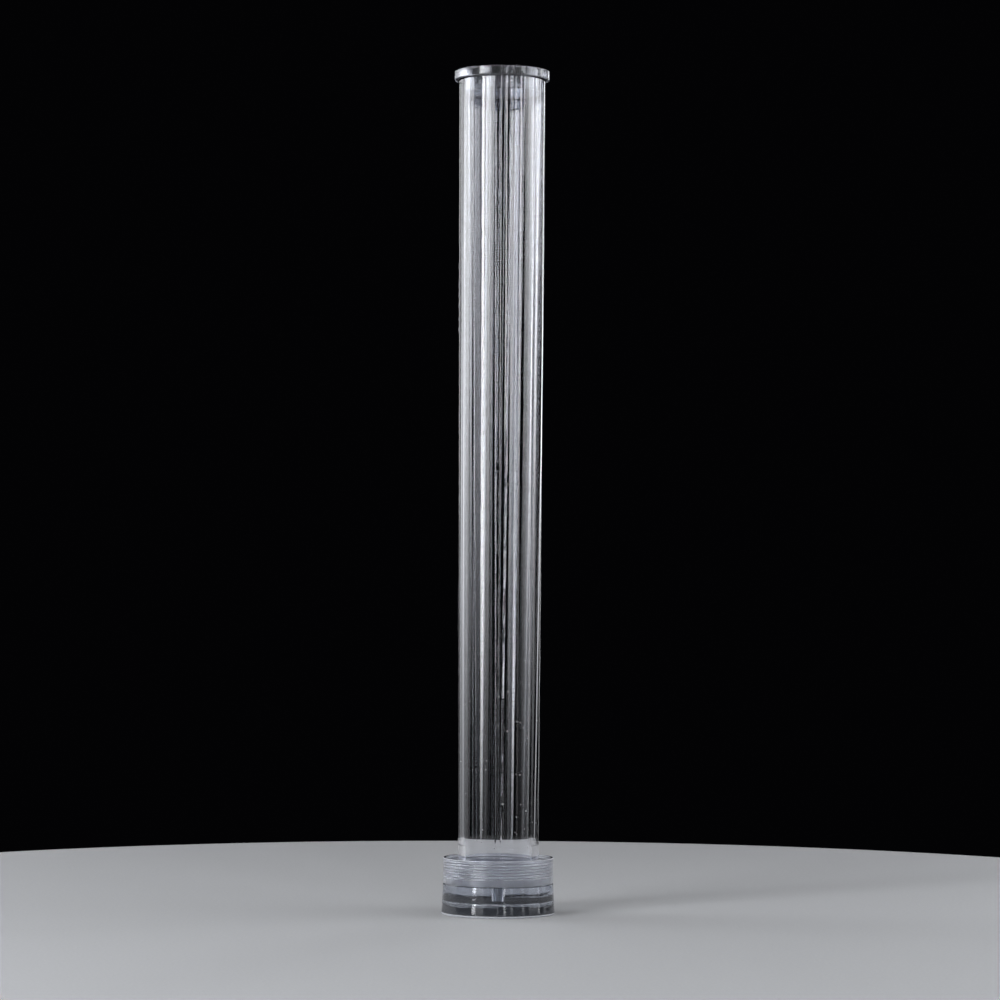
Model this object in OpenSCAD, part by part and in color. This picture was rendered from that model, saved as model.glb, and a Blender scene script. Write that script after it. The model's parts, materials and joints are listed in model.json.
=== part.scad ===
// Manual rain gauge: a clear tapered tube with a push-in collector ring,
// cemented in a threaded plug that screws into the collar of a clear round base.
// Millimetres, +Z up. The origin is the centre of the underside of the base.

/* [Overall] */
// Height from the underside of the base to the top of the collector ring
overall_h = 300; // [200:1:450]

/* [Measuring tube] */
// Outer diameter of the tube at its mouth
tube_mouth_d = 31; // [26:0.2:60]
// Outer diameter of the tube at its foot
tube_foot_d = 28.8; // [24:0.2:58]
// Wall thickness of the tube
tube_wall = 2.6; // [2.2:0.1:4]

/* [Collector ring] */
// How far the flange stands out past the mouth of the tube
flange_overhang = 1.5; // [0.5:0.1:6]
// Thickness of the flange
flange_h = 3.2; // [2:0.1:8]
// How deep the spigot reaches into the mouth of the tube
spigot_l = 4.5; // [3:0.1:20]
// Wall thickness of the spigot
spigot_wall = 1; // [0.7:0.1:1.2]

/* [Threaded plug] */
// Width of the plug's rim around the tube
plug_rim_w = 3.65; // [2:0.05:10]
// How deep the tube is cemented into the plug
socket_l = 4; // [2:0.1:12]
// Thickness of the plug's threaded part below the foot of the tube
plug_floor_h = 1.5; // [0.8:0.1:8]
// Pitch of the thread
thread_pitch = 1; // [0.5:0.1:2]
// Depth of the thread
thread_depth = 0.35; // [0.15:0.05:0.8]

/* [Base] */
// Wall thickness of the threaded collar
collar_wall = 1.4; // [1.2:0.1:6]
// How far the rim of the collar stands above the top of the plug
collar_lip = 1.5; // [0.5:0.1:10]
// Thickness of the washer that the plug is screwed down on
washer_h = 1.9; // [0.5:0.1:4]
// Width of the washer from its hole to its edge
washer_w = 5.6; // [2:0.1:8]
// Thickness of the upper disc
upper_disc_h = 6; // [4:0.1:20]
// Thickness of the foot disc
foot_disc_h = 4.8; // [3.5:0.1:20]
// How much wider the foot is than the collar, in diameter
foot_flare = 1.1; // [0:0.1:20]
// Diameter of the pin that centres the two discs
centre_pin_d = 3; // [2:0.1:8]
// How deep the centre pin reaches into the foot disc
centre_pin_grip = 1.5; // [0.5:0.1:2.5]

/* [Hidden] */
$fn = 96;

// Clearances: all are per side
ring_fit = 0.08;      // spigot in the mouth of the tube
seat_gap = 0.2;       // flange over the rim of the tube, and spigot over its ledge
cement_gap = 0.05;    // film of cement between bonded round faces
thread_fit = 0.1;     // crest of one thread to the crest of the other
washer_gap = 0.1;     // washer to the faces above, below and inside it
pin_top_gap = 0.2;    // top of the centre pin below the face of the upper disc
drill_overrun = 1;    // how far a blind hole's cutter runs out past the face

// Edge breaks
flange_edge = 0.25;
bore_edge = 0.3;
full_lead = 1;        // bevel inside the mouth of the tube, where the wall has room for it
mouth_land = 0.3;     // flat kept on the rim of the tube beside that bevel
rim_edge = 0.2;
joint_edge = 0.25;    // at the seam between the collar and the upper disc
cement_edge = 0.1;    // at the seam between the two discs
foot_edge = 0.3;
washer_edge = 0.2;
pin_edge = 0.3;

// Heights, from the ground up
disc_seam_z = foot_disc_h;
collar_z = foot_disc_h + upper_disc_h;
plug_z = collar_z + washer_h + 2 * washer_gap;
plug_top_z = plug_z + plug_floor_h + socket_l;
collar_top_z = plug_top_z + collar_lip;
tube_foot_z = plug_top_z - socket_l;
flange_z = overall_h - flange_h;
tube_mouth_z = flange_z - seat_gap;
spigot_z = flange_z - spigot_l;
ledge_z = spigot_z - seat_gap;

// Radii, from the tube outwards
mouth_r = tube_mouth_d / 2;
foot_r = tube_foot_d / 2;
function tube_r(z) = foot_r + (mouth_r - foot_r) * (z - tube_foot_z) / (tube_mouth_z - tube_foot_z);
function bore_r(z) = tube_r(z) - tube_wall;
ring_bore_r = bore_r(ledge_z);
spigot_r = ring_bore_r + spigot_wall;
counterbore_r = spigot_r + ring_fit;
mouth_lead = min(full_lead, mouth_r - rim_edge - counterbore_r - mouth_land);
flange_r = mouth_r + flange_overhang;
plug_r = tube_r(plug_top_z) + cement_gap + plug_rim_w;
collar_bore_r = plug_r + thread_fit;
collar_r = collar_bore_r + collar_wall;
washer_r = plug_r - thread_depth - washer_gap;
washer_hole_r = washer_r - washer_w;
nose_r = washer_hole_r - washer_gap;
nose_h = washer_h;
foot_bottom_r = collar_r + foot_flare / 2;
// The sides of the two discs share one slope
function disc_r(z) = foot_bottom_r + (collar_r - foot_bottom_r) * z / collar_z;
pin_r = centre_pin_d / 2;
pin_foot_z = disc_seam_z - centre_pin_grip;

// Outline of the whole thread rings that fit between two heights, from the lowest to the highest.
// phase_z is where one of the rings would start, so that two threads can be put in step.
// Every ring has a flat an eighth of the pitch wide at its crest and at its root.
flat = thread_pitch / 8;
slope = (thread_pitch - 2 * flat) / 2;
plug_phase_z = plug_top_z - rim_edge;
collar_phase_z = plug_phase_z + thread_pitch / 2;
function thread_outline(crest_r, root_r, z_low, z_high, phase_z) =
    let (first = ceil((z_low - phase_z) / thread_pitch),
         last = floor((z_high - phase_z) / thread_pitch) - 1)
    [for (i = [first : last])
        for (p = [[crest_r, 0], [root_r, slope], [root_r, slope + flat], [crest_r, 2 * slope + flat]])
            [p[0], phase_z + i * thread_pitch + flat / 2 + p[1]]];
function reversed(points) = [for (i = [len(points) - 1 : -1 : 0]) points[i]];

// A turned ring or disc with its two outer edges broken
module turned_disc(bottom_r, top_r, z0, z1, bottom_edge, top_edge, hole_r = 0) {
    rotate_extrude()
        polygon([[hole_r, z0], [bottom_r - bottom_edge, z0], [bottom_r, z0 + bottom_edge],
                 [top_r, z1 - top_edge], [top_r - top_edge, z1], [hole_r, z1]]);
}

// Flanged ring whose bore is the collecting area and continues the bore of the tube
module collector_ring() {
    color("lightcyan", 0.6)
        rotate_extrude()
            polygon([[ring_bore_r, spigot_z + bore_edge], [ring_bore_r + bore_edge, spigot_z],
                     [spigot_r - bore_edge, spigot_z], [spigot_r, spigot_z + bore_edge],
                     [spigot_r, flange_z], [flange_r - flange_edge, flange_z],
                     [flange_r, flange_z + flange_edge], [flange_r, overall_h - flange_edge],
                     [flange_r - flange_edge, overall_h], [ring_bore_r + bore_edge, overall_h],
                     [ring_bore_r, overall_h - bore_edge]]);
}

// Tube with a slight draft inside and out, counterbored at its mouth for the spigot
module measuring_tube() {
    color("aliceblue", 0.4)
        rotate_extrude()
            polygon([[bore_r(tube_foot_z), tube_foot_z], [foot_r, tube_foot_z],
                     [tube_r(tube_mouth_z - rim_edge), tube_mouth_z - rim_edge],
                     [mouth_r - rim_edge, tube_mouth_z],
                     [counterbore_r + mouth_lead, tube_mouth_z],
                     [counterbore_r, tube_mouth_z - mouth_lead],
                     [counterbore_r, ledge_z], [bore_r(ledge_z), ledge_z]]);
}

// Solid plug that closes the foot of the tube: socket above, thread outside, nose below
module threaded_plug() {
    color("gainsboro", 0.6)
        rotate_extrude()
            polygon(concat(
                [[0, plug_z - nose_h], [nose_r - washer_edge, plug_z - nose_h],
                 [nose_r, plug_z - nose_h + washer_edge], [nose_r, plug_z],
                 [plug_r - thread_depth, plug_z]],
                thread_outline(plug_r, plug_r - thread_depth, plug_z, plug_top_z - rim_edge, plug_phase_z),
                [[plug_r - thread_depth, plug_top_z],
                 [tube_r(plug_top_z) + cement_gap, plug_top_z],
                 [foot_r + cement_gap, tube_foot_z], [0, tube_foot_z]]));
}

// Flat washer around the plug's nose, pressed between the plug and the base
module seal_washer() {
    color("whitesmoke")
        translate([0, 0, collar_z + washer_gap])
            rotate_extrude()
                polygon([[washer_hole_r, 0], [washer_r - washer_edge, 0], [washer_r, washer_edge],
                         [washer_r, washer_h - washer_edge], [washer_r - washer_edge, washer_h],
                         [washer_hole_r, washer_h]]);
}

// Ring with the thread inside, relieved around the washer and bonded to the upper disc
module threaded_collar() {
    color("lightsteelblue", 0.6)
        rotate_extrude()
            polygon(concat(
                [[collar_r, collar_z + joint_edge], [collar_r, collar_top_z - rim_edge],
                 [collar_r - rim_edge, collar_top_z], [collar_bore_r + thread_depth, collar_top_z]],
                reversed(thread_outline(collar_bore_r, collar_bore_r + thread_depth,
                                        plug_z, collar_top_z - rim_edge, collar_phase_z)),
                [[collar_bore_r + thread_depth, plug_z], [collar_bore_r + thread_depth, collar_z],
                 [collar_r - joint_edge, collar_z]]));
}

// Disc under the collar, drilled through for the centre pin
module upper_disc() {
    color("azure", 0.5)
        turned_disc(disc_r(disc_seam_z), disc_r(collar_z), disc_seam_z, collar_z,
                    cement_edge, joint_edge, pin_r + cement_gap);
}

// Pin that keeps the two discs concentric while they are cemented
module centre_pin() {
    color("white", 0.8)
        turned_disc(pin_r, pin_r, pin_foot_z, collar_z - pin_top_gap, pin_edge, pin_edge);
}

// Disc that stands on the ground, with a blind hole for the centre pin
module foot_disc() {
    color("azure", 0.5)
        difference() {
            turned_disc(foot_bottom_r, disc_r(disc_seam_z), 0, disc_seam_z, foot_edge, cement_edge);
            translate([0, 0, pin_foot_z])
                cylinder(r = pin_r + cement_gap, h = centre_pin_grip + drill_overrun);
        }
}

collector_ring();
measuring_tube();
threaded_plug();
seal_washer();
threaded_collar();
upper_disc();
centre_pin();
foot_disc();
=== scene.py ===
"""Looks of the manual rain gauge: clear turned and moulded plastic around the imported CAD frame."""

import json
import math
import random

import bmesh
import bpy
from mathutils import Matrix, Vector


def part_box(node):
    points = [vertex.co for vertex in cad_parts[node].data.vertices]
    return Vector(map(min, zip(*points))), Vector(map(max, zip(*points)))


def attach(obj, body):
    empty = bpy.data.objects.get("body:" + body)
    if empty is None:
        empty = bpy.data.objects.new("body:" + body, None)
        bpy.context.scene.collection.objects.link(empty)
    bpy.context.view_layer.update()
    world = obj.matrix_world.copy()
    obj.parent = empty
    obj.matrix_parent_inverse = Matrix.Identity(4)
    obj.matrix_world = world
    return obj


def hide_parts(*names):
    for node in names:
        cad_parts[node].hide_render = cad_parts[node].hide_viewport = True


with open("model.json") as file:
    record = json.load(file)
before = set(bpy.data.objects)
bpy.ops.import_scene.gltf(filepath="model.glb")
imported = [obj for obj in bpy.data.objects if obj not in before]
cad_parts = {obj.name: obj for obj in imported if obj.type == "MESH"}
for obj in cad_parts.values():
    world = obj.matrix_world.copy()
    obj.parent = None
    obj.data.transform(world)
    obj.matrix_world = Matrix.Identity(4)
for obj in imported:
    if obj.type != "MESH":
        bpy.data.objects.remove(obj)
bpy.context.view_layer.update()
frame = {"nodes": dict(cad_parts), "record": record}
MM = 0.001
NIL = 1e-7  # a length too small to matter
SEGMENTS = 256  # stations round a turned piece
BEAD_STATIONS = 480  # stations along a bead of cement
BEAD_SIDES = 8  # sides of a bead
THREAD_STATIONS = 160  # stations round a thread
THREAD_ROWS = 14  # rows of the mesh in one pitch of a thread
THREAD_SHARP_DEG = 40  # angle from which an edge of a threaded piece is sharp
PITCH = frame["record"]["behaviour"]["couplings"][0]["ratio"] * 2 * math.pi  # rise in one turn


# Sizes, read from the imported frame

def radii_at(node, height):
    """Sorted radii of a CAD node's vertices at one height."""
    points = (v.co for v in frame["nodes"][node].data.vertices)
    same_level = 2e-6
    found = {round(math.hypot(p.x, p.y), 6) for p in points if abs(p.z - height) < same_level}
    return sorted(found)


def heights(node):
    """Sorted heights of a CAD node's vertices."""
    return sorted({round(v.co.z, 6) for v in frame["nodes"][node].data.vertices})


# Meshes

def smooth_object(name, mesh, sharp_deg=28):
    """Object with smooth shading that breaks at real edges."""
    obj = bpy.data.objects.new(name, mesh)
    bpy.context.scene.collection.objects.link(obj)
    for face in mesh.polygons:
        face.use_smooth = True
    mesh.set_sharp_from_angle(angle=math.radians(sharp_deg))
    return obj


def softened(profile, corner, steps=3):
    """The closed profile with each corner cut back by corner and rounded, as far as
    the straights beside it leave room."""
    most_of_side = 0.4
    out = []
    count = len(profile)
    for i, here in enumerate(profile):
        here = Vector(here)
        before = Vector(profile[i - 1])
        after = Vector(profile[(i + 1) % count])
        room = min((before - here).length, (after - here).length) * most_of_side
        cut = min(corner, room)
        if here.x < NIL or cut < NIL:
            out.append(tuple(here))
            continue
        start = here + (before - here).normalized() * cut
        end = here + (after - here).normalized() * cut
        for k in range(steps + 1):
            t = k / steps
            point = start * (1 - t) ** 2 + here * 2 * t * (1 - t) + end * t ** 2
            out.append(tuple(point))
    return out


def turned(bm, profile, angles=None, bump=None, twist=None):
    """Adds the closed profile, a list of (radius, height), turned round the Z axis.
    bump gives the change in radius at an angle and a point of the profile,
    and twist gives the angle by which a height is turned."""
    angles = angles or [2 * math.pi * k / SEGMENTS for k in range(SEGMENTS)]
    columns = []
    axis_points = {}
    for a in angles:
        column = []
        for i, (r, z) in enumerate(profile):
            if r < NIL:
                if i not in axis_points:
                    axis_points[i] = bm.verts.new((0, 0, z))
                column.append(axis_points[i])
                continue
            grown = r + (bump(a, i) if bump else 0.0)
            b = a + (twist(z) if twist else 0.0)
            column.append(bm.verts.new((grown * math.cos(b), grown * math.sin(b), z)))
        columns.append(column)
    for left, right in zip(columns, columns[1:] + columns[:1]):
        for i in range(len(profile)):
            j = (i + 1) % len(profile)
            corners = []
            for v in (left[i], right[i], right[j], left[j]):
                if v not in corners:
                    corners.append(v)
            if len(corners) > 2:
                bm.faces.new(corners)


def finished(name, bm):
    """Turns a bmesh into a mesh with outward faces."""
    bmesh.ops.recalc_face_normals(bm, faces=bm.faces)
    mesh = bpy.data.meshes.new(name)
    bm.to_mesh(mesh)
    bm.free()
    return mesh


def place(obj, body, slot, material, *nodes):
    """Lays a finished piece into the frame in place of the CAD nodes it stands for."""
    obj.data.materials.append(material)
    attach(obj, body)
    if nodes:
        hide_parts(*nodes)
    return obj


def turned_piece(name, profile, corner):
    """Object turned from a closed profile with softened corners."""
    bm = bmesh.new()
    turned(bm, softened(profile, corner))
    return smooth_object(name, finished(name, bm))


def recoat(obj, material, wanted):
    """Gives another material to the faces whose centre passes the test wanted(radius, height)."""
    obj.data.materials.append(material)
    index = len(obj.data.materials) - 1
    for face in obj.data.polygons:
        c = face.center
        if wanted(math.hypot(c.x, c.y), c.z):
            face.material_index = index


def waves(rng, count, lowest, highest):
    """A smooth random curve round the axis, between about -1 and 1."""
    terms = [
        (rng.randint(lowest, highest), rng.uniform(0, 2 * math.pi), rng.uniform(0.5, 1))
        for _ in range(count)
    ]
    total = sum(size for _, _, size in terms)
    return lambda a: sum(size * math.sin(k * a + shift) for k, shift, size in terms) / total


def uneven_bead(bm, radius, height, size, wander, rng):
    """Adds a thin bead round the axis whose size and height change along it."""
    rise = waves(rng, count=5, lowest=3, highest=19)
    swell = waves(rng, count=6, lowest=7, highest=41)
    unevenness, depth_share = 0.45, 0.8
    rings = []
    for k in range(BEAD_STATIONS):
        a = 2 * math.pi * k / BEAD_STATIONS
        half = size * (1 + unevenness * swell(a))
        z = height + wander * rise(a)
        section = []
        for i in range(BEAD_SIDES):
            b = 2 * math.pi * i / BEAD_SIDES
            r = radius + half * depth_share * math.cos(b)
            point = (r * math.cos(a), r * math.sin(a), z + half * math.sin(b))
            section.append(bm.verts.new(point))
        rings.append(section)
    for one, other in zip(rings, rings[1:] + rings[:1]):
        for i in range(BEAD_SIDES):
            j = (i + 1) % BEAD_SIDES
            bm.faces.new((one[i], other[i], other[j], one[j]))


def drop(bm, angle_deg, radius, height, size, flat):
    """Adds a small rounded drop, flattened by flat in height."""
    a = math.radians(angle_deg)
    where = Matrix.Translation((radius * math.cos(a), radius * math.sin(a), height))
    shape = Matrix.Diagonal((size, size, size * flat, 1))
    bmesh.ops.create_icosphere(bm, subdivisions=2, radius=1, matrix=where @ shape)


# Materials

class Nodes:
    """Small helper that adds and links shader nodes."""

    def __init__(self, name):
        self.material = bpy.data.materials.new(name)
        self.material.use_nodes = True
        self.tree = self.material.node_tree
        self.shader = self.tree.nodes["Principled BSDF"]
        self.roughness = None  # socket that coated() links to the shader's roughness
        self.height = None  # socket that coated() links to the bump's height
        self.ripple = 0.0  # depth of that bump, in metres

    def add(self, kind, **values):
        node = self.tree.nodes.new("ShaderNode" + kind)
        for key, value in values.items():
            if hasattr(node, key) and key not in node.inputs:
                setattr(node, key, value)
            else:
                node.inputs[key.replace("_", " ")].default_value = value
        return node

    def link(self, source, target):
        self.tree.links.new(source, target)

    def object_point(self):
        return self.add("TexCoord").outputs["Object"]

    def coords(self, scale):
        """Object coordinates, stretched by a scale along each axis."""
        stretched = self.add("Mapping")
        stretched.inputs["Scale"].default_value = scale
        self.link(self.object_point(), stretched.inputs["Vector"])
        return stretched.outputs["Vector"]

    def noise(self, vector, scale, detail=3.0, rough=0.5):
        node = self.add("TexNoise", Scale=scale, Detail=detail, Roughness=rough)
        self.link(vector, node.inputs["Vector"])
        return node.outputs["Fac"]

    def remap(self, value, low, high, to_low, to_high):
        node = self.add("MapRange")
        node.inputs["From Min"].default_value = low
        node.inputs["From Max"].default_value = high
        node.inputs["To Min"].default_value = to_low
        node.inputs["To Max"].default_value = to_high
        self.link(value, node.inputs["Value"])
        return node.outputs["Result"]

    def calc(self, operation, one, other=0.0):
        """Result of a Math node whose operands are sockets or numbers."""
        node = self.add("Math", operation=operation)
        for value, socket in zip((one, other), node.inputs):
            if isinstance(value, (int, float)):
                socket.default_value = value
            else:
                self.link(value, socket)
        return node.outputs[0]

    def bump(self, height, distance):
        node = self.add("Bump", Strength=1.0, Distance=distance)
        self.link(height, node.inputs["Height"])
        self.link(node.outputs["Normal"], self.shader.inputs["Normal"])


def clear_plastic(name, tint, rough, haze, ripple, stretch, wear_scale=(60, 60, 22)):
    """Clear plastic: roughness that grows from rough to haze in cloudy patches of wear, and
    a faint ripple, stretched along the way the plastic was drawn or turned."""
    acrylic_ior = 1.49
    n = Nodes(name)
    n.shader.inputs["Base Color"].default_value = (*tint, 1)
    n.shader.inputs["Transmission Weight"].default_value = 1.0
    n.shader.inputs["IOR"].default_value = acrylic_ior
    patches = n.noise(n.coords(wear_scale), 1.0, 4.0, 0.6)
    n.roughness = n.remap(patches, 0.5, 0.8, rough, haze)
    n.height = n.noise(n.coords(stretch), 1.0, 3.0, 0.45)
    n.ripple = ripple
    return n


def milky(n, weight):
    """Lets part of the light scatter in the plastic, as under a ground or cut surface."""
    n.shader.inputs["Transmission Weight"].default_value = weight
    return n


def specked(n, cell, spot, share, low, high):
    """Adds small dull specks of the share of the cells given, each about spot of a cell
    in radius, thinning out from the height low to the height high."""
    left_at_top, soft_edge, dullness, relief = 0.04, 1.6, 0.55, 1.5
    cells = n.add("TexVoronoi", Scale=1.0 / cell)
    n.link(n.object_point(), cells.inputs["Vector"])
    split = n.add("SeparateColor")
    n.link(cells.outputs["Color"], split.inputs["Color"])
    point = n.add("SeparateXYZ")
    n.link(n.object_point(), point.inputs["Vector"])
    limit = n.remap(point.outputs["Z"], low, high, 1 - share, 1 - share * left_at_top)
    chosen = n.calc("GREATER_THAN", split.outputs["Red"], limit)
    dot = n.remap(cells.outputs["Distance"], spot, spot * soft_edge, 1.0, 0.0)
    speck = n.calc("MULTIPLY", chosen, dot)
    n.roughness = n.calc("MAXIMUM", n.roughness, n.remap(speck, 0, 1, 0, dullness))
    n.height = n.calc("ADD", n.height, n.remap(speck, 0, 1, 0, relief))
    return n


def glazed(n, weight, rough):
    """Adds a broad soft highlight over the surface."""
    n.shader.inputs["Coat Weight"].default_value = weight
    n.shader.inputs["Coat Roughness"].default_value = rough
    return n


def coated(n):
    """Links the roughness and the ripple to the shader and returns the material."""
    n.link(n.roughness, n.shader.inputs["Roughness"])
    n.bump(n.height, n.ripple)
    return n.material


TUBE_TINT = (0.965, 0.97, 0.99)
RING_TINT = (0.62, 0.64, 0.69)
BLOCK_TINT = (0.52, 0.56, 0.64)
PLUG_TINT = (0.62, 0.64, 0.7)
COLLAR_TINT = (0.86, 0.88, 0.93)
THREAD_TINT = (0.5, 0.52, 0.58)
EDGE_TINT = (0.8, 0.82, 0.86)
CEMENT_TINT = (0.82, 0.84, 0.9)
PIN_TINT = (0.86, 0.88, 0.92)
tube_plastic = coated(specked(
    clear_plastic(
        "clear_tube", TUBE_TINT, rough=0.0, haze=0.012,
        ripple=0.000003, stretch=(260, 260, 0.4),
    ),
    cell=1.5 * MM, spot=0.11, share=0.06, low=0.03, high=0.12,
))
ring_plastic = coated(clear_plastic(
    "clear_ring", RING_TINT, rough=0.18, haze=0.34,
    ripple=0.00002, stretch=(500, 500, 60), wear_scale=(300, 300, 300),
))
block_plastic = coated(milky(clear_plastic(
    "clear_block", BLOCK_TINT, rough=0.0, haze=0.08,
    ripple=0.00014, stretch=(60, 60, 420), wear_scale=(90, 90, 500),
), weight=0.95))
plug_plastic = coated(milky(clear_plastic(
    "plug_plastic", PLUG_TINT, rough=0.3, haze=0.5,
    ripple=0.00004, stretch=(200, 200, 2500), wear_scale=(200, 200, 900),
), weight=0.7))
collar_plastic = coated(glazed(clear_plastic(
    "frosted_collar", COLLAR_TINT, rough=0.14, haze=0.3,
    ripple=0.00001, stretch=(20, 20, 4000), wear_scale=(80, 80, 900),
), weight=1.0, rough=0.24))
thread_plastic = coated(milky(clear_plastic(
    "cut_thread", THREAD_TINT, rough=0.3, haze=0.5,
    ripple=0.00001, stretch=(60, 60, 4000), wear_scale=(200, 200, 900),
), weight=0.7))
edge_plastic = coated(milky(clear_plastic(
    "ground_edge", EDGE_TINT, rough=0.45, haze=0.6,
    ripple=0.00003, stretch=(900, 900, 900), wear_scale=(900, 900, 900),
), weight=0.6))
cement_plastic = coated(milky(clear_plastic(
    "set_cement", CEMENT_TINT, rough=0.1, haze=0.3,
    ripple=0.00004, stretch=(1500, 1500, 1500), wear_scale=(600, 600, 600),
), weight=0.4))
pin_plastic = coated(milky(clear_plastic(
    "pin_plastic", PIN_TINT, rough=0.35, haze=0.5,
    ripple=0.00004, stretch=(2500, 2500, 900), wear_scale=(600, 600, 300),
), weight=0.6))


def silicone():
    """Milky silicone rubber with a fine grain."""
    rubber_ior = 1.41
    n = Nodes("washer_rubber")
    n.shader.inputs["Base Color"].default_value = (0.74, 0.76, 0.79, 1)
    n.shader.inputs["Transmission Weight"].default_value = 0.55
    n.shader.inputs["IOR"].default_value = rubber_ior
    grain = n.noise(n.coords((2500, 2500, 2500)), 1.0, 3.0, 0.6)
    n.link(n.remap(grain, 0.2, 0.8, 0.35, 0.6), n.shader.inputs["Roughness"])
    n.bump(grain, 0.00003)
    return n.material


def painted_seam_shade():
    """Painted shade: a nearly black surface for the faces that meet in the seam under the flange, in
    place of the shadow in that gap.
    """
    n = Nodes("painted_seam_shade")
    n.shader.inputs["Base Color"].default_value = (0.012, 0.012, 0.015, 1)
    n.shader.inputs["Specular IOR Level"].default_value = 0.1
    grain = n.noise(n.coords((900, 900, 900)), 1.0, 3.0, 0.6)
    n.link(n.remap(grain, 0.2, 0.8, 0.5, 0.7), n.shader.inputs["Roughness"])
    n.bump(grain, 0.00003)
    return n.material


washer_rubber = silicone()
# nearly black painted shade for the seam under the flange
painted_shade_material = painted_seam_shade()


# The pieces

ring_low, ring_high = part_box("collector_ring")
tube_low, tube_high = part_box("measuring_tube")
plug_low, plug_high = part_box("threaded_plug")
collar_low, collar_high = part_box("threaded_collar")
washer_low, washer_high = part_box("seal_washer")
upper_low, upper_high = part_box("upper_disc")
pin_low, pin_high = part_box("centre_pin")
foot_low, foot_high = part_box("foot_disc")
EDGE = 0.06 * MM  # radius of a rounded edge
FINE_EDGE = 0.03 * MM
RIM_EDGE = 0.2 * MM  # edge breaks of the CAD pieces
JOINT_EDGE = 0.25 * MM
CEMENT_EDGE = 0.1 * MM
FOOT_EDGE = 0.3 * MM
PIN_EDGE = 0.3 * MM
WASHER_EDGE = 0.25 * MM
THREAD_PHASE = plug_high.z - RIM_EDGE  # where the plug's thread is cut to its crest
PAINTED_SHADE_MARGIN = 0.4 * MM  # how far the painted shade in the seam under the flange reaches past the tube


def ring():
    """Collector ring: flange above, spigot below."""
    levels = heights("collector_ring")
    spigot = radii_at("collector_ring", levels[1])
    step_out = 0.5 * MM
    wide = [z for z in levels if max(radii_at("collector_ring", z)) - spigot[-1] > step_out]
    flange_z = wide[0]
    flange = radii_at("collector_ring", flange_z)
    edge = ring_high.x - flange[-1]
    bore = spigot[0]
    lead = levels[1] - levels[0]
    # radii of the band on the flange's underside that gets the painted shade of the seam
    seam = tube_high.x - 2 * PAINTED_SHADE_MARGIN, tube_high.x + PAINTED_SHADE_MARGIN
    profile = [
        (bore, levels[1]), (bore + lead, levels[0]),
        (spigot[-1] - lead, levels[0]), (spigot[-1], levels[1]),
        (spigot[-1], flange_z), (seam[0], flange_z), (seam[1], flange_z), (flange[-1], flange_z),
        (ring_high.x, flange_z + edge), (ring_high.x, ring_high.z - edge),
        (ring_high.x - edge, ring_high.z), (bore + lead, ring_high.z),
        (bore, ring_high.z - lead),
    ]
    piece = turned_piece("collector_ring_clear", profile, EDGE)
    place(piece, "collector", "clear_ring", ring_plastic, "collector_ring")
    # paints shade: the underside of the flange over the tube's rim gets a nearly black surface
    # standing in for the shadow in the seam
    recoat(piece, painted_shade_material, lambda r, z: seam[0] < r < seam[1] and z < flange_z + FINE_EDGE)
    return piece


def tube():
    """Moulded tube, with a fine parting line that leans down the front and the back."""
    levels = heights("measuring_tube")
    foot_z = levels[0]
    foot = radii_at("measuring_tube", foot_z)
    mouth = radii_at("measuring_tube", levels[-1])
    ledge_z = levels[1]
    ledge = radii_at("measuring_tube", ledge_z)
    lead_z = levels[2]
    shoulder_z = levels[-2]
    outer = max(radii_at("measuring_tube", shoulder_z))
    outer_rows, bore_rows = 120, 12
    line_w, line_depth, lean_angle = math.radians(1.5), 0.16 * MM, math.radians(9)
    lines = [math.radians(deg) for deg in (-87, 93)]
    profile = [(foot[0], foot_z), (foot[-1], foot_z)]
    for k in range(1, outer_rows):
        t = k / outer_rows
        profile.append((foot[-1] + (outer - foot[-1]) * t, foot_z + (shoulder_z - foot_z) * t))
    profile += [
        (outer, shoulder_z), (mouth[-1], levels[-1]), (mouth[0], levels[-1]),
        (ledge[-1], lead_z), (ledge[-1], ledge_z), (ledge[0], ledge_z),
    ]
    for k in range(1, bore_rows):
        t = 1 - k / bore_rows
        profile.append((foot[0] + (ledge[0] - foot[0]) * t, foot_z + (ledge_z - foot_z) * t))
    angles = {2 * math.pi * k / SEGMENTS for k in range(SEGMENTS)}
    for line in lines:
        angles |= {(line + line_w * s) % (2 * math.pi) for s in (-1, -0.5, 0, 0.5, 1)}
    last_outer = outer_rows + 1
    rng = random.Random(11)
    depth = [line_depth * rng.uniform(0.4, 1.3) for _ in profile]

    def bump(a, i):
        if not 1 <= i <= last_outer:
            return 0.0
        near = min(abs((a - line + math.pi) % (2 * math.pi) - math.pi) for line in lines)
        return -depth[i] * max(0.0, 1 - near / line_w)

    def lean(z):
        return lean_angle * ((z - foot_z) / (shoulder_z - foot_z))

    bm = bmesh.new()
    turned(bm, profile, sorted(angles), bump, lean)
    piece = smooth_object("measuring_tube_clear", finished("measuring_tube_clear", bm))
    place(piece, "tube", "clear_tube", tube_plastic, "measuring_tube")
    # paints shade: the tube's top chamfer gets a nearly black surface standing in for the shadow in
    # the seam under the flange
    recoat(piece, painted_shade_material, lambda r, z: z > shoulder_z and r > mouth[-1])
    return piece


def tube_cement():
    """Bead of cement in the corner between the tube and the plug, with a few drops."""
    drops, flatness = 22, 0.6
    bead, wander = 0.16 * MM, 0.02 * MM
    out_of_tube, over_plug = 0.3 * MM, 0.18 * MM
    rng = random.Random(23)
    radius = max(radii_at("measuring_tube", tube_low.z)) + out_of_tube
    height = plug_high.z + over_plug
    bm = bmesh.new()
    uneven_bead(bm, radius, height, bead, wander, rng)
    for _ in range(drops):
        size = rng.uniform(0.12, 0.3) * MM
        angle = rng.uniform(0, 360)
        drop(bm, angle, radius + rng.uniform(0.1, 0.9) * MM, height, size, flatness)
    piece = smooth_object("tube_cement", finished("tube_cement", bm))
    return place(piece, "tube", "plug_plastic", cement_plastic)


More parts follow.
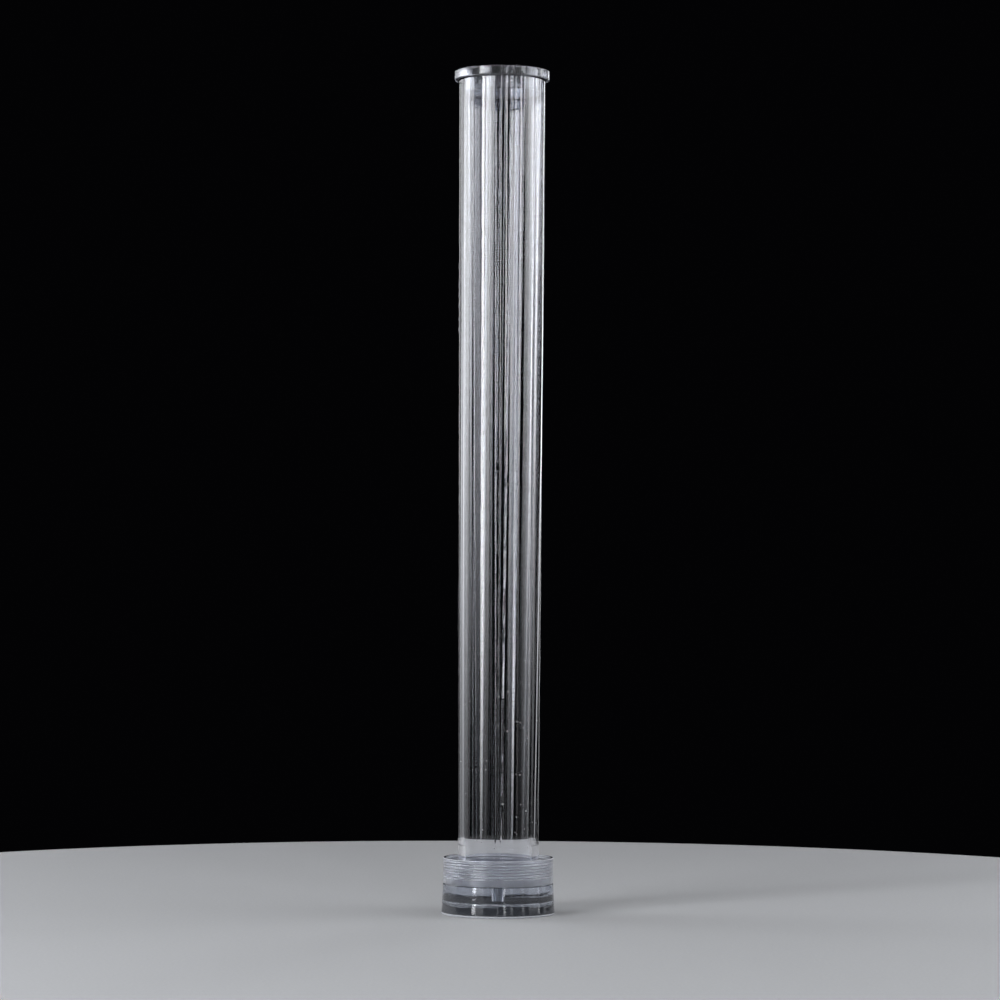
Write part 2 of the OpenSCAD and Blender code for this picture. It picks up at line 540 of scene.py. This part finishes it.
def thread_height(turns):
    """Height of the thread's form, 0 at the root and 1 at the crest, over one pitch."""
    t = turns % 1.0
    flat = 0.125
    slope = (1 - 2 * flat) / 2
    if t < flat / 2 or t > 1 - flat / 2:
        return 1.0
    if t < flat / 2 + slope:
        return 1 - (t - flat / 2) / slope
    if t < flat * 1.5 + slope:
        return 0.0
    return (t - flat * 1.5 - slope) / slope


def thread_wall(bm, crest, root, low, high, phase, fade):
    """Adds the wall of a right-handed helical thread and returns its lowest and highest loops."""
    rows = max(2, round((high - low) / PITCH * THREAD_ROWS))
    loops = []
    for i in range(rows + 1):
        z = low + (high - low) * i / rows
        shallow = min(1.0, (z - low) / fade, (high - z) / fade)
        loop = []
        for k in range(THREAD_STATIONS):
            turn = k / THREAD_STATIONS
            height = thread_height((z - phase) / PITCH - turn)
            r = root + (crest - root) * height * max(0.0, shallow)
            a = 2 * math.pi * turn
            loop.append(bm.verts.new((r * math.cos(a), r * math.sin(a), z)))
        loops.append(loop)
    for lower, upper in zip(loops, loops[1:]):
        for k in range(THREAD_STATIONS):
            j = (k + 1) % THREAD_STATIONS
            bm.faces.new((lower[k], lower[j], upper[j], upper[k]))
    return loops[0], loops[-1]


def loop_at(bm, r, z):
    """Adds a circle of vertices with the stations of a thread."""
    return [
        bm.verts.new((r * math.cos(a), r * math.sin(a), z))
        for a in (2 * math.pi * k / THREAD_STATIONS for k in range(THREAD_STATIONS))
    ]


def skin(bm, loops):
    """Joins each loop to the next with a band of faces."""
    for one, other in zip(loops, loops[1:]):
        for k in range(THREAD_STATIONS):
            j = (k + 1) % THREAD_STATIONS
            bm.faces.new((one[k], one[j], other[j], other[k]))


def plug():
    """Threaded plug with the socket for the tube and the nose for the washer."""
    levels = heights("threaded_plug")
    nose = max(radii_at("threaded_plug", levels[1]))
    shoulder_z = washer_high.z + (washer_low.z - upper_high.z)
    crest = plug_high.x
    root = max(radii_at("threaded_plug", plug_high.z))
    socket_top = min(radii_at("threaded_plug", plug_high.z))
    socket_z = tube_low.z
    thinnest_wall = MM
    socket_foot = max(r for r in radii_at("threaded_plug", socket_z) if r < root - thinnest_wall)
    edge = levels[1] - levels[0]
    bm = bmesh.new()
    bottom = [
        loop_at(bm, nose - edge, levels[0]), loop_at(bm, nose, levels[1]),
        loop_at(bm, nose, shoulder_z),
    ]
    top = [
        loop_at(bm, socket_top, plug_high.z), loop_at(bm, socket_foot, socket_z),
    ]
    fade = PITCH / 2
    first, last = thread_wall(bm, crest, root, shoulder_z, plug_high.z, THREAD_PHASE, fade)
    skin(bm, bottom + [first])
    skin(bm, [last] + top)
    bm.faces.new(list(reversed(bottom[0])))
    bm.faces.new(top[-1])
    mesh = finished("threaded_plug_frosted", bm)
    piece = smooth_object("threaded_plug_frosted", mesh, THREAD_SHARP_DEG)
    return place(piece, "tube", "plug_plastic", plug_plastic, "threaded_plug")


def collar():
    """Collar with the thread inside and a relief for the washer below it."""
    outer = collar_high.x
    crest = min(r for z in heights("threaded_collar") for r in radii_at("threaded_collar", z))
    root = min(radii_at("threaded_collar", collar_low.z))
    relief_z = washer_high.z
    edge = outer - max(radii_at("threaded_collar", collar_high.z))
    foot_edge = outer - max(radii_at("threaded_collar", collar_low.z))
    bm = bmesh.new()
    phase, fade = THREAD_PHASE + PITCH / 2, PITCH / 2
    first, last = thread_wall(bm, crest, root, relief_z, collar_high.z - edge, phase, fade)
    loops = [
        last, loop_at(bm, root + edge / 2, collar_high.z),
        loop_at(bm, outer - edge, collar_high.z), loop_at(bm, outer, collar_high.z - edge),
        loop_at(bm, outer, collar_low.z + foot_edge), loop_at(bm, outer - foot_edge, collar_low.z),
        loop_at(bm, root, collar_low.z), first,
    ]
    skin(bm, loops)
    mesh = finished("threaded_collar_frosted", bm)
    piece = smooth_object("threaded_collar_frosted", mesh, THREAD_SHARP_DEG)
    place(piece, "base", "frosted_collar", collar_plastic, "threaded_collar")
    recoat(piece, thread_plastic, lambda r, z: r < root + edge / 2)
    recoat(piece, edge_plastic, lambda r, z: r > outer - edge and z > collar_high.z - edge)
    return piece


def washer():
    """Flat washer under the plug, with round edges."""
    hole = radii_at("seal_washer", washer_low.z)[0]
    profile = [
        (hole, washer_low.z), (washer_high.x, washer_low.z),
        (washer_high.x, washer_high.z), (hole, washer_high.z),
    ]
    piece = turned_piece("seal_washer_soft", profile, WASHER_EDGE)
    return place(piece, "washer", "washer_rubber", washer_rubber, "seal_washer")


def upper_block():
    """Disc under the collar, drilled for the centre pin."""
    low, high = upper_low.z, upper_high.z
    hole = radii_at("upper_disc", low)[0]
    bottom, top = radii_at("upper_disc", low)[-1], radii_at("upper_disc", high)[-1]
    wide = radii_at("upper_disc", low + CEMENT_EDGE)[-1]
    narrow = radii_at("upper_disc", high - JOINT_EDGE)[-1]
    profile = [
        (hole, low), (bottom, low), (wide, low + CEMENT_EDGE),
        (narrow, high - JOINT_EDGE), (top, high), (hole, high),
    ]
    piece = turned_piece("upper_disc_clear", profile, FINE_EDGE)
    return place(piece, "base", "clear_block", block_plastic, "upper_disc")


def pin():
    """Ground pin that centres the two discs."""
    profile = [(0, pin_low.z), (pin_high.x, pin_low.z), (pin_high.x, pin_high.z), (0, pin_high.z)]
    piece = turned_piece("centre_pin_ground", profile, PIN_EDGE)
    return place(piece, "base", "pin_plastic", pin_plastic, "centre_pin")


def foot_block():
    """Disc that stands on the table, ground along its lowest edge."""
    low, high = foot_low.z, foot_high.z
    hole = radii_at("foot_disc", pin_low.z)[-1]
    bottom = radii_at("foot_disc", low)[-1]
    top = radii_at("foot_disc", high)[-1]
    wide = foot_high.x
    narrow = radii_at("foot_disc", high - CEMENT_EDGE)[-1]
    ground_w = 0.4 * MM
    rim_z = low + FOOT_EDGE + ground_w
    slant = (wide - narrow) / (high - CEMENT_EDGE - FOOT_EDGE - low)
    profile = [
        (0, low), (bottom, low), (wide, low + FOOT_EDGE), (wide - slant * ground_w, rim_z),
        (narrow, high - CEMENT_EDGE), (top, high), (hole, high), (hole, pin_low.z),
        (0, pin_low.z),
    ]
    piece = turned_piece("foot_disc_clear", profile, FINE_EDGE)
    place(piece, "base", "clear_block", block_plastic, "foot_disc")
    recoat(piece, edge_plastic, lambda r, z: r > bottom and z < rim_z)
    return piece


def disc_cement():
    """Line of cement squeezed out between the two discs, with drops caught in the joint."""
    rng = random.Random(31)
    radius = radii_at("foot_disc", foot_high.z)[-1]
    bead, wander, flatness = 0.15 * MM, 0.14 * MM, 0.7
    # Middle and spread in degrees, and how many drops
    clusters = ((-122, 9, 16), (-48, 12, 10), (60, 30, 8), (170, 40, 8))
    bm = bmesh.new()
    uneven_bead(bm, radius - EDGE, foot_high.z, bead, wander, rng)
    for middle_deg, spread_deg, count in clusters:
        for _ in range(count):
            size = rng.uniform(0.12, 0.34) * MM
            angle = rng.gauss(middle_deg, spread_deg / 2)
            inwards = rng.uniform(0.5, 2.2) * MM
            drop(bm, angle, radius - inwards, foot_high.z, size, flatness)
    piece = smooth_object("disc_cement", finished("disc_cement", bm))
    return place(piece, "base", "clear_block", cement_plastic)


ring()
tube()
tube_cement()
plug()
washer()
collar()
upper_block()
pin()
foot_block()
disc_cement()


# Stage: a round pale table, tall soft panels in a ring around it, and the camera

def table():
    """Round pale table with its top at the foot of the gauge."""
    bm = bmesh.new()
    radius, thick, edge = 0.34, 0.02, 0.004
    turned(bm, softened([(0, -thick), (radius, -thick), (radius, 0), (0, 0)], edge))
    obj = smooth_object("table", finished("table", bm))
    n = Nodes("table_paint")
    grain = n.noise(n.coords((900, 900, 900)), 1.0, 3.0)
    n.shader.inputs["Base Color"].default_value = (0.36, 0.36, 0.36, 1)
    n.link(n.remap(grain, 0.3, 0.7, 0.6, 0.75), n.shader.inputs["Roughness"])
    obj.data.materials.append(n.material)


def panel_glow(name, dim, bright, waist, full):
    """Emission that is dim at the height waist and bright as far from it as full is."""
    ease = 1.7
    n = Nodes(name)
    point = n.add("SeparateXYZ")
    n.link(n.object_point(), point.inputs["Vector"])
    away = n.calc("ABSOLUTE", n.calc("SUBTRACT", point.outputs["Z"], waist))
    rise = n.calc("POWER", n.remap(away, 0, full - waist, 0, 1), ease)
    strength = n.remap(rise, 0, 1, dim, bright)
    # Like visible_camera = False, for a panel seen straight through the clear plastic
    path = n.add("LightPath")
    bounces = n.calc("ADD", path.outputs["Glossy Depth"], path.outputs["Diffuse Depth"])
    none_yet = n.calc("LESS_THAN", bounces, 0.5)
    hidden = n.calc("MULTIPLY", none_yet, path.outputs["Is Transmission Ray"])
    shown = n.calc("SUBTRACT", 1.0, hidden)
    glow = n.add("Emission", Color=(0.93, 0.95, 1.0, 1))
    n.link(n.calc("MULTIPLY", strength, shown), glow.inputs["Strength"])
    n.link(glow.outputs["Emission"], n.tree.nodes["Material Output"].inputs["Surface"])
    n.tree.nodes.remove(n.shader)
    return n.material


def light_panel(name, from_deg, to_deg, dim, bright, full):
    """Tall curved soft panel that faces the gauge, dim at its waist and bright from the
    height full. Its angles run from the camera's side of the gauge, positive to the right."""
    distance, low, waist, high = 1.0, -0.6, -0.08, 0.9
    strip_deg = 4
    steps = max(2, round(abs(to_deg - from_deg) / strip_deg))
    bm = bmesh.new()
    columns = []
    for k in range(steps + 1):
        a = math.radians(from_deg + (to_deg - from_deg) * k / steps)
        x, y = distance * math.sin(a), -distance * math.cos(a)
        columns.append((bm.verts.new((x, y, low)), bm.verts.new((x, y, high))))
    for (a_low, a_high), (b_low, b_high) in zip(columns, columns[1:]):
        bm.faces.new((a_low, b_low, b_high, a_high))
    mesh = bpy.data.meshes.new(name)
    bm.to_mesh(mesh)
    bm.free()
    mesh.materials.append(panel_glow(name, dim, bright, waist, full))
    obj = bpy.data.objects.new(name, mesh)
    bpy.context.scene.collection.objects.link(obj)
    obj.visible_camera = False


def camera():
    scene = bpy.context.scene
    data = bpy.data.cameras.new("camera")
    data.sensor_width = 36
    data.lens = 118.3
    obj = bpy.data.objects.new("camera", data)
    scene.collection.objects.link(obj)
    obj.location = (0, -1.1708, 0.1152)
    pitch_up, roll = math.radians(1.55), math.radians(0.285)
    turn = Matrix.Rotation(math.pi / 2 + pitch_up, 4, "X") @ Matrix.Rotation(roll, 4, "Z")
    obj.rotation_euler = turn.to_euler()
    scene.camera = obj


# Name, first and last angle in degrees, strength at the waist and when full, full height
PANELS = (
    ("left_rim", -155, -145, 0.2, 2.0, 0.4),
    ("left_rear", -140, -120, 0.2, 3.0, 0.4),
    ("left_side", -120, -95, 0.3, 6.0, 0.4),
    ("left_key", -54, -46, 1.5, 22.0, 0.15),
    ("left_front", -45, -30, 0.3, 10.0, 0.4),
    ("front_strip", -3, 0, 0.5, 6.0, 0.4),
    ("front_key", 11, 15, 1.0, 12.0, 0.2),
    ("right_front", 25, 30, 0.5, 6.0, 0.4),
    ("right_key", 50, 55, 0.5, 9.0, 0.4),
    ("right_side", 65, 90, 0.2, 5.0, 0.4),
    ("right_strip", 90, 94, 1.0, 10.0, 0.2),
    ("right_rear", 105, 115, 0.3, 7.0, 0.4),
    ("right_rim", 150, 160, 0.3, 3.5, 0.4),
)
table()
for place_name, from_deg, to_deg, dim, bright, full in PANELS:
    light_panel(place_name + "_panel", from_deg, to_deg, dim, bright, full)
camera()

scene = bpy.context.scene
world = bpy.data.worlds.new("studio")
world.use_nodes = True
world.node_tree.nodes["Background"].inputs["Color"].default_value = (0.001, 0.001, 0.0013, 1)
scene.world = world
scene.view_settings.view_transform = "Standard"
scene.cycles.max_bounces = 32
scene.cycles.transmission_bounces = 32
scene.cycles.glossy_bounces = 12
scene.cycles.use_denoising = True
